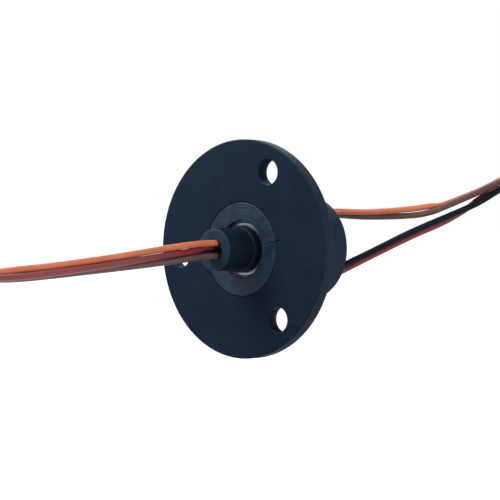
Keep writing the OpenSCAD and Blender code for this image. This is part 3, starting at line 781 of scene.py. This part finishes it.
def notchCutter(faceY, s):
    half = s["width"] / 2
    outline = [(s["from"], -half), (s["to"], -half), (s["to"], half), (s["from"], half)]
    cutter = extruded("notch", outline, faceY - cutPast, faceY + s["depth"])
    cutter.data.transform(Matrix.Rotation(math.radians(-s["angle"]), 4, "Y"))
    return cutter


bodySet = {  # names with Y are places along Y, and the seats, bores and bodyRadius are radii
    "boltCircle": 34.2,  # diameters of the hole circle and of a hole
    "boltHole": 5.1,
    "boltAngle": 65,  # of the first hole, from +X up to +Z
    "boltCount": 3,
    "holeChamfer": 0.18,
    "holeSegments": 72,
    "segments": 192,
    "rimRound": 0.35,
    "endRound": 0.25,
    "capSeatRound": 0.08,
    "rearSeatRound": 0.06,
    "bodyRadius": 11,
    "wall": 1.5,
    "capSeat": 9.65,
    "bearingSeat": 7.02,
    "lipBore": 6.2,
    "lipStartY": 2.7,
    "lipEndY": 3.3,
    "seatFloorY": -1.8,
    "rearSeat": 10,
    "rearShoulder": 1.2,
}


def makeHousing(s):
    faceY, endY, rim = reach("flanged_housing")
    chamber = s["bodyRadius"] - s["wall"]
    shoulderY = endY - s["rearShoulder"]
    corners = [
        (s["capSeat"], faceY), (rim, faceY), (rim, 0), (s["bodyRadius"], 0), (s["bodyRadius"], endY),
        (s["rearSeat"], endY), (s["rearSeat"], shoulderY), (chamber, shoulderY), (chamber, s["lipEndY"]),
        (s["lipBore"], s["lipEndY"]), (s["lipBore"], s["lipStartY"]), (s["bearingSeat"], s["lipStartY"]),
        (s["bearingSeat"], s["seatFloorY"]), (s["capSeat"], s["seatFloorY"]),
    ]
    radii = [s["capSeatRound"], s["rimRound"], s["rimRound"], 0, s["endRound"], s["rearSeatRound"]] + [0] * 8
    obj = revolved("flanged_housing_shell", rounded(corners, radii), s["segments"])
    cutters = [notchCutter(faceY, notchSet)]
    hole = s["boltHole"] / 2
    chamfer = s["holeChamfer"]
    wide = hole + chamfer + cutPast
    profile = [
        (0, faceY - cutPast), (wide, faceY - cutPast), (hole, faceY + chamfer),
        (hole, -chamfer), (wide, cutPast), (0, cutPast),
    ]
    for i in range(s["boltCount"]):
        angle = math.radians(s["boltAngle"] - 360 / s["boltCount"] * i)
        cutter = revolved("hole", profile, s["holeSegments"])
        move = Vector((math.cos(angle), 0, math.sin(angle))) * s["boltCircle"] / 2 * mm
        cutter.data.transform(Matrix.Translation(move))
        cutters.append(cutter)
    return dress(cutBy(obj, cutters), "stator", "flanged_housing", "housing_plastic")


frontCapSet = {"bore": 5.75, "edgeRound": 0.2}


def makeFrontCap(s):
    faceY, backY, rim = reach("front_cap")
    corners = [(s["bore"], faceY), (rim, faceY), (rim, backY), (s["bore"], backY)]
    obj = revolved("front_cap_ring", rounded(corners, [s["edgeRound"], s["edgeRound"], 0, 0]))
    return dress(cutBy(obj, [notchCutter(faceY, notchSet)]), "stator", "front_cap", "cap_plastic")


rearCapSet = {
    "seat": 5.02,  # radii of the bearing's seat, the boss round it, the plug in the body and the recess
    "boss": 6.2,
    "plug": 9.35,
    "recess": 3.75,
    "recessDepth": 0.3,
    "bearingWidth": 3,
    "disc": 2.4,  # thickness up to the boss, and the part of it that shows
    "shoulder": 1.2,
    "edgeRound": 0.2,
    "exitX": 0.7,  # half the distance of an exit's two leads, and the exit's height off the axis
    "exitZ": 7.7,
    "exitRadius": 0.71,
    "exitChamfer": 0.2,
}


def ovalOutline(halfX, radius, steps=16):  # two half circles joined by straight sides
    outline = []
    for side in (1, -1):
        for k in range(steps + 1):
            a = math.pi * k / steps - math.pi / 2
            outline.append((side * (halfX + radius * math.cos(a)), side * radius * math.sin(a)))
    return outline


def ovalCutter(s, side, endY):  # straight through, flared where the leads come out
    bm = bmesh.new()
    rows = []
    chamfer = s["exitChamfer"]
    levels = ((endY - s["disc"] - cutPast, 0), (endY - chamfer, 0), (endY + cutPast, chamfer + cutPast))
    for y, grow in levels:
        outline = ovalOutline(s["exitX"], s["exitRadius"] + grow)
        rows.append([bm.verts.new((x * mm, y * mm, (z + side * s["exitZ"]) * mm)) for x, z in outline])
    return capped("exit", bm, rows)


def makeRearCap(s):
    frontY, endY, rim = reach("rear_cap")
    seatY = frontY + s["bearingWidth"]
    shoulderY = endY - s["shoulder"]
    corners = [
        (0, seatY + s["recessDepth"]), (s["recess"], seatY + s["recessDepth"]), (s["recess"], seatY),
        (s["seat"], seatY), (s["seat"], frontY), (s["boss"], frontY), (s["boss"], endY - s["disc"]),
        (s["plug"], endY - s["disc"]), (s["plug"], shoulderY), (rim, shoulderY), (rim, endY), (0, endY),
    ]
    radii = [0] * 10 + [s["edgeRound"], 0]
    obj = revolved("rear_cap_disc", rounded(corners, radii))
    exits = [ovalCutter(s, side, endY) for side in (1, -1)]
    return dress(cutBy(obj, exits), "stator", "rear_cap", "cap_plastic")


shaftSet = {  # names with Y are places along Y, and the others are radii unless a note says otherwise
    "stub": 4.3,
    "mouthRound": 0.5,
    "bore": 2.15,
    "boreEndY": 11.8,
    "boreRound": 0.15,
    "stepRound": 0.06,
    "collarFrontY": -3.7,
    "journal": 4.48,
    "lipY": 2.7,
    "shoulder": 5.2,
    "stackY": 3.4,
    "drum": 3.8,
    "stackEndY": 12.5,
    "clipGroove": 3.3,
    "clipEndY": 13.1,
    "rearStep": 3.2,
    "rearBearingY": 13.4,
    "rearJournal": 2.48,
    "ringHole": 0.45,  # the four holes that the inner wires take to the rings
    "holeAngles": (45, 135, 225, 315),  # degrees
    "firstHoleY": 4.8,
    "holePitch": 2.1,  # from hole to hole along Y
    "holeSegments": 32,
    "roundSteps": 7,
}


def makeShaft(s):
    mouthY, endY, _ = reach("rotor_shaft")
    corners = [
        (s["bore"], mouthY), (s["stub"], mouthY), (s["stub"], s["collarFrontY"]),
        (s["journal"], s["collarFrontY"]), (s["journal"], s["lipY"]), (s["shoulder"], s["lipY"]),
        (s["shoulder"], s["stackY"]), (s["drum"], s["stackY"]), (s["drum"], s["stackEndY"]),
        (s["clipGroove"], s["stackEndY"]), (s["clipGroove"], s["clipEndY"]), (s["rearStep"], s["clipEndY"]),
        (s["rearStep"], s["rearBearingY"]), (s["rearJournal"], s["rearBearingY"]), (s["rearJournal"], endY),
        (0, endY), (0, s["boreEndY"]), (s["bore"], s["boreEndY"]),
    ]
    radii = [s["boreRound"], s["mouthRound"], 0, s["stepRound"]] + [0] * 14
    obj = revolved("rotor_shaft_turned", rounded(corners, radii, s["roundSteps"]))
    outside = s["drum"] + cutPast
    profile = [(0, 0), (s["ringHole"], 0), (s["ringHole"], outside), (0, outside)]
    cutters = []
    for i, angle in enumerate(s["holeAngles"]):
        a = math.radians(angle)
        cutter = revolved("wireHole", profile, s["holeSegments"])
        out = Vector((math.cos(a), 0, math.sin(a)))
        cutter.data.transform(out.to_track_quat("Y", "X").to_matrix().to_4x4())
        cutter.data.transform(Matrix.Translation((0, (s["firstHoleY"] + i * s["holePitch"]) * mm, 0)))
        cutters.append(cutter)
    return dress(cutBy(obj, cutters), "rotor", "rotor_shaft", "shaft_plastic")


collarSet = {"bore": 4.5, "boreRound": 0.04, "edgeRound": 0.13}


def makeCollar(s):
    frontY, backY, rim = reach("shaft_collar")
    corners = [(s["bore"], frontY), (rim, frontY), (rim, backY), (s["bore"], backY)]
    obj = revolved("shaft_collar_ring", rounded(corners, [s["boreRound"], s["edgeRound"], 0, 0]))
    return dress(obj, "rotor", "shaft_collar", "shaft_plastic", "collar_plastic")


raceSet = {
    "bore": 4.5,
    "pitch": 5.75,  # radii of the ball circle and of the groove's own arc
    "groove": 0.83,
    "grooveSteps": 12,
    "edgeRound": 0.12,
    "roundSteps": 4,
}


def makeInnerRace(s):
    frontY, backY, rim = reach("front_inner_race")
    middle = (frontY + backY) / 2
    half = math.sqrt(s["groove"] ** 2 - (s["pitch"] - rim) ** 2)
    first = math.atan2(-half, rim - s["pitch"])
    last = math.atan2(half, rim - s["pitch"]) - 2 * math.pi
    groove = []
    for k in range(1, s["grooveSteps"]):
        a = first + (last - first) * k / s["grooveSteps"]
        groove.append((s["pitch"] + s["groove"] * math.cos(a), middle + s["groove"] * math.sin(a)))
    corners = [
        (s["bore"], frontY), (rim, frontY), (rim, middle - half), *groove,
        (rim, middle + half), (rim, backY), (s["bore"], backY),
    ]
    radii = [s["edgeRound"]] * 2 + [0] * (len(groove) + 2) + [s["edgeRound"]] * 2
    obj = revolved("front_inner_race_ground", rounded(corners, radii, s["roundSteps"]))
    return dress(obj, "rotor", "front_inner_race", "bearing_steel")


tieSet = {
    "width": 2.4,
    "thickness": 0.5,
    "halfInside": 2.75,
    "top": -4.72,  # above and below the turns, from the coil's centre
    "bottom": -10.42,
    "outerRound": 0.9,
    "innerRound": 0.5,
    "edge": 0.1,
    "sharp": 1,  # radians between two faces whose edge is rounded
    "head": 2.6,
    "headHeight": 1.3,
    "headEdge": 0.2,
    "ribs": 9,
    "ribPitch": 0.55,
    "ribShare": 0.6,  # of the strap's width
    "ribHeight": 0.09,
    "ribDepth": 0.1,
    "ribHalf": 0.1,
    "ribEdge": 0.04,
}


def roundedBox(bm, low, high, edge):
    made = bmesh.ops.create_cube(bm, size=1)["verts"]
    for v in made:
        v.co = Vector([low[i] if v.co[i] < 0 else high[i] for i in range(3)])
    rims = {e for v in made for e in v.link_edges}
    bmesh.ops.bevel(bm, geom=list(rims), offset=edge, segments=3, affect="EDGES", profile=0.5)


def addStrap(bm, s):  # closed loop round the turns
    half = s["width"] / 2
    loops = []
    for grow, radius in ((0, s["innerRound"]), (s["thickness"], s["outerRound"])):
        x = s["halfInside"] + grow
        low, high = s["bottom"] - grow, s["top"] + grow
        loops.append(rounded([(x, low), (x, high), (-x, high), (-x, low)], [radius] * 4))
    inner, outer = loops
    rows = []
    for across, loop in ((-half, inner), (-half, outer), (half, outer), (half, inner)):
        rows.append([bm.verts.new((across, *p)) for p in loop])
    skin(bm, rows + rows[:1])
    bmesh.ops.recalc_face_normals(bm, faces=bm.faces)
    rims = [e for e in bm.edges if e.calc_face_angle(0) > s["sharp"]]
    bmesh.ops.bevel(bm, geom=rims, offset=s["edge"], segments=2, affect="EDGES", profile=0.5)


def addRibs(bm, s):  # the ratchet's ribs, along the middle of one side
    outside = -s["halfInside"] - s["thickness"]
    half = s["width"] / 2 * s["ribShare"]
    for i in range(s["ribs"]):
        z = (s["top"] + s["bottom"]) / 2 + (i - (s["ribs"] - 1) / 2) * s["ribPitch"]
        low = (-half, outside - s["ribHeight"], z - s["ribHalf"])
        high = (half, outside + s["ribDepth"], z + s["ribHalf"])
        roundedBox(bm, low, high, s["ribEdge"])


def makeTie(coil, s):
    bm = bmesh.new()
    addStrap(bm, s)
    addRibs(bm, s)
    base = s["bottom"] - s["thickness"]
    half = s["head"] / 2
    roundedBox(bm, (-half, -half, base - s["headHeight"]), (half, half, base), s["headEdge"])
    heading = Vector(coil["heading"])
    across = Vector((0, 0, 1)).cross(heading)
    turn = Matrix((heading, across, (0, 0, 1))).transposed().to_4x4()
    bm.transform(Matrix.Translation(Vector(coil["centre"]) * mm) @ turn @ Matrix.Scale(mm, 4))
    obj = fromBmesh(coil["tie"] + "_strap", bm)
    return dress(obj, coil["body"], coil["tie"], "tie_nylon")


makeHousing(bodySet)
makeFrontCap(frontCapSet)
makeRearCap(rearCapSet)
makeShaft(shaftSet)
makeCollar(collarSet)
makeInnerRace(raceSet)
makeTie(rotorCoil, tieSet)
makeTie(statorCoil, tieSet)
print("turned and moulded pieces: made")


lampSets = {  # places and sizes in metres
    "key": {"at": (-0.09, -0.13, 0.17), "size": 0.12, "watts": 0.6},
    "fill": {"at": (0.9, 0.1, 0.15), "size": 0.6, "watts": 6.4},
    "top": {"at": (0.1, -0.1, 0.9), "size": 0.6, "watts": 2.0},
    "back": {"at": (-0.4, 0.9, 0.4), "size": 0.6, "watts": 4.0},
}


def makeLamp(name, s):  # a round lamp that faces the part
    data = bpy.data.lights.new(name, "AREA")
    data.shape = "DISK"
    data.size = s["size"]
    data.energy = s["watts"]
    lamp = newObject(name, data)
    lamp.location = s["at"]
    lamp.rotation_euler = Vector(s["at"]).to_track_quat("Z", "Y").to_euler()
    lamp.visible_camera = False


worldSet = {"lights": 0.2, "shows": 1.0}  # strength as a light, and as the background that is seen


def makeWorld(s):
    world = bpy.data.worlds.new("studio")
    bpy.context.scene.world = world
    world.use_nodes = True
    tree = world.node_tree
    background = tree.nodes["Background"]
    background.inputs["Color"].default_value = (1, 1, 1, 1)
    path = tree.nodes.new("ShaderNodeLightPath")
    seen = math2(tree, "MAXIMUM", path.outputs["Is Camera Ray"], path.outputs["Is Glossy Ray"])
    seen = math2(tree, "MAXIMUM", seen, path.outputs["Is Transmission Ray"])
    tree.links.new(spread(tree, seen, 0, 1, s["lights"], s["shows"]), background.inputs["Strength"])


floorSet = {
    "height": -0.13,  # metres, like "half" and the glow's distances
    "half": 12,
    "cells": 8,
    "light": (0.62, 0.62, 0.62),
    "dark": (0.59, 0.59, 0.59),
    "cloudsPerMetre": 3.0,
    "rough": 0.9,
    "specular": 0.1,
    "glowFrom": 0.2,  # the floor shows brighter with distance, so that it meets the white background
    "glowTo": 0.5,
    "glowNear": 0.6,
    "glowFar": 1.0,
}


def makeFloor(s):
    bm = bmesh.new()
    bmesh.ops.create_grid(bm, x_segments=s["cells"], y_segments=s["cells"], size=s["half"])
    floor = fromBmesh("floor", bm)
    floor.location = (0, 0, s["height"])
    material, tree, shader = newMaterial("floor_paint")
    base = addGroup(tree, clouds, light=s["light"], dark=s["dark"], perMetre=s["cloudsPerMetre"])
    tree.links.new(base.outputs["Color"], shader.inputs["Base Color"])
    shader.inputs["Roughness"].default_value = s["rough"]
    shader.inputs["Specular IOR Level"].default_value = s["specular"]
    path = tree.nodes.new("ShaderNodeLightPath")
    seen = math2(tree, "MAXIMUM", path.outputs["Is Camera Ray"], path.outputs["Is Glossy Ray"])
    away = tree.nodes.new("ShaderNodeVectorMath")
    away.operation = "LENGTH"
    tree.links.new(place(tree), away.inputs[0])
    glow = spread(tree, away.outputs["Value"], s["glowFrom"], s["glowTo"], s["glowNear"], s["glowFar"])
    tree.links.new(math2(tree, "MULTIPLY", seen, glow), shader.inputs["Emission Strength"])
    shader.inputs["Emission Color"].default_value = (1, 1, 1, 1)
    floor.data.materials.append(material)


bpy.context.scene.view_settings.view_transform = "Standard"
makeWorld(worldSet)
for name, lampSet in lampSets.items():
    makeLamp(name, lampSet)
makeFloor(floorSet)
print("studio: made,", len(lampSets), "lamps")
